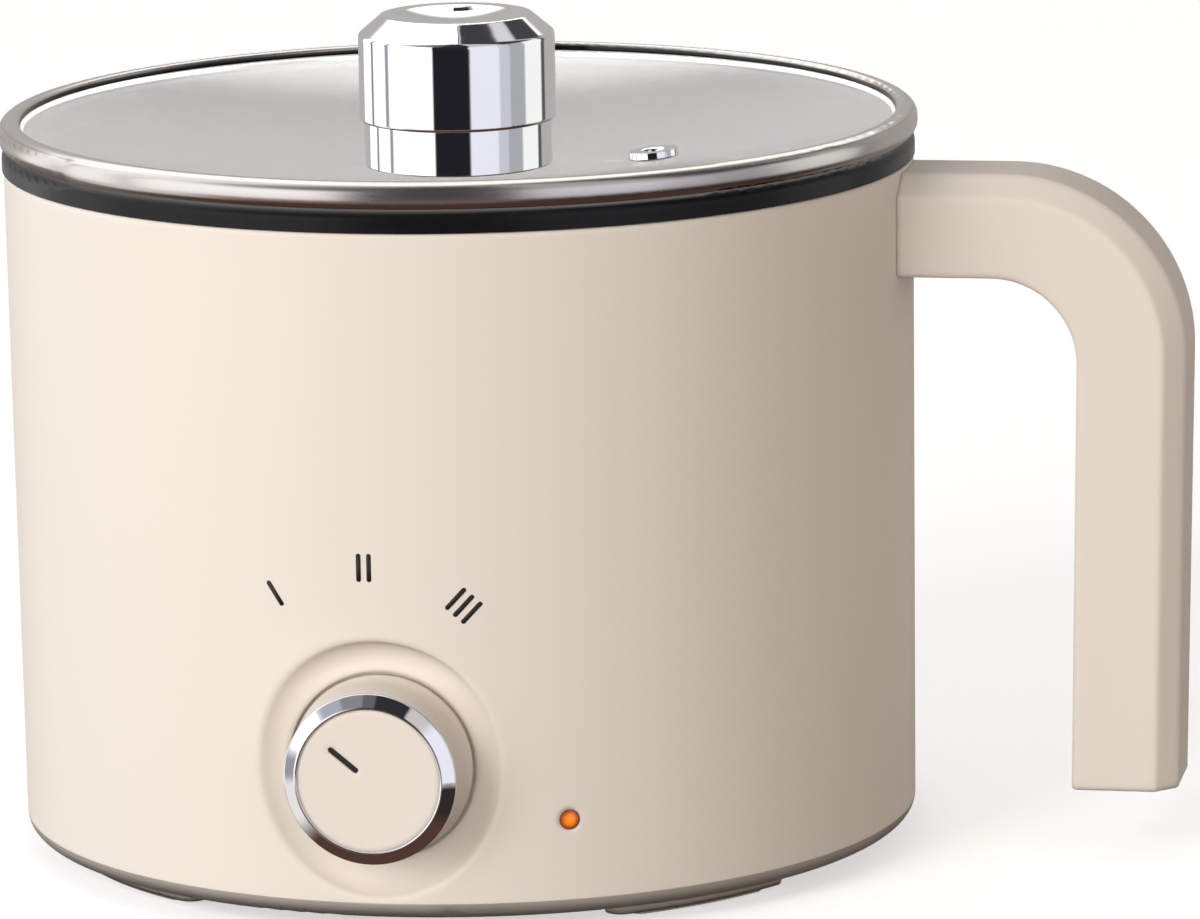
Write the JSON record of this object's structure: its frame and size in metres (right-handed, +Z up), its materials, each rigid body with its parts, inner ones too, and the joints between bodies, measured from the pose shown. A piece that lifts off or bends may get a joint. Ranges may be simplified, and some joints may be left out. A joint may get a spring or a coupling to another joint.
{
  "type": "electric cooking pot",
  "caption": "Round countertop electric cooking pot with a lift-off dished glass lid, a chrome lid knob, a front heat dial with a pilot lamp, and an L-shaped side handle.",
  "frame": {"origin": "on the pot's axis, level with the worktop that the foot pads rest on", "axes": "+Z up along the pot's axis, +X along the handle, -Y towards the user, where the dial faces"},
  "size_m": [0.2408, 0.1926, 0.168],
  "materials": {
    "cream_plastic": "fine satin moulded plastic",
    "black_coating": "satin non-stick coating",
    "lid_steel": "polished stainless steel",
    "chrome": "mirror chrome",
    "glass": "clear tempered glass",
    "silicone": "matt silicone",
    "foot_rubber": "matt rubber",
    "aluminium": "plain aluminium",
    "element_steel": "dull heat-tinted steel",
    "zinc_steel": "zinc plated steel",
    "ceramic": "unglazed ceramic",
    "phenolic": "dark heat-proof moulding",
    "brass": "plain brass",
    "amber_lens": "translucent orange lens",
    "white_nylon": "white nylon",
    "black_plastic": "black moulded plastic",
    "lead_sleeve": "woven glass-fibre sleeve",
    "pointer_black": "matt black inlay"
  },
  "bodies": {
    "housing": {"outer_shell": "cream_plastic", "inner_pot": "black_coating", "rim_seal": "silicone", "base_cover": "cream_plastic", "foot_pads": "foot_rubber", "base_screws": "zinc_steel", "heater_plate": "aluminium", "heating_element": "element_steel", "element_beads": "ceramic", "element_pins": "zinc_steel", "pot_studs": "zinc_steel", "heat_shield": "zinc_steel", "shield_nuts": "zinc_steel", "thermostat": "phenolic", "thermal_fuse": "ceramic", "fuse_clip": "zinc_steel", "thermostat_screws": "zinc_steel", "switch_frame": "zinc_steel", "switch_body": "phenolic", "switch_terminals": "brass", "switch_nut": "zinc_steel", "lamp_lens": "amber_lens", "lamp_body": "white_nylon", "power_inlet": "black_plastic", "inlet_pins": "brass", "handle_grip": "cream_plastic", "handle_cover": "cream_plastic", "handle_screws": "zinc_steel", "live_lead": "lead_sleeve", "thermostat_lead": "lead_sleeve", "earth_lead": "lead_sleeve"},
    "dial": {"dial_knob": "cream_plastic", "dial_ring": "chrome", "dial_face": "cream_plastic", "dial_pointer": "pointer_black", "dial_clip": "zinc_steel", "switch_shaft": "zinc_steel"},
    "lid": {"lid_glass": "glass", "lid_ring": "lid_steel", "vent_eyelet": "chrome", "lid_knob_neck": "chrome", "lid_knob": "chrome", "lid_washer": "silicone", "lid_gasket": "silicone", "lid_screw": "zinc_steel"}
  },
  "joints": [
    {"name": "dial_turn", "type": "hinge", "parent": "housing", "child": "dial", "pos_m": [0, -0.093, 0.0334], "axis": [0, 1, 0], "range_deg": [0, 81]},
    {"name": "lid_lift", "type": "slide", "parent": "housing", "child": "lid", "axis": [0, 0, 1], "range_m": [0, 0.12]}
  ]
}
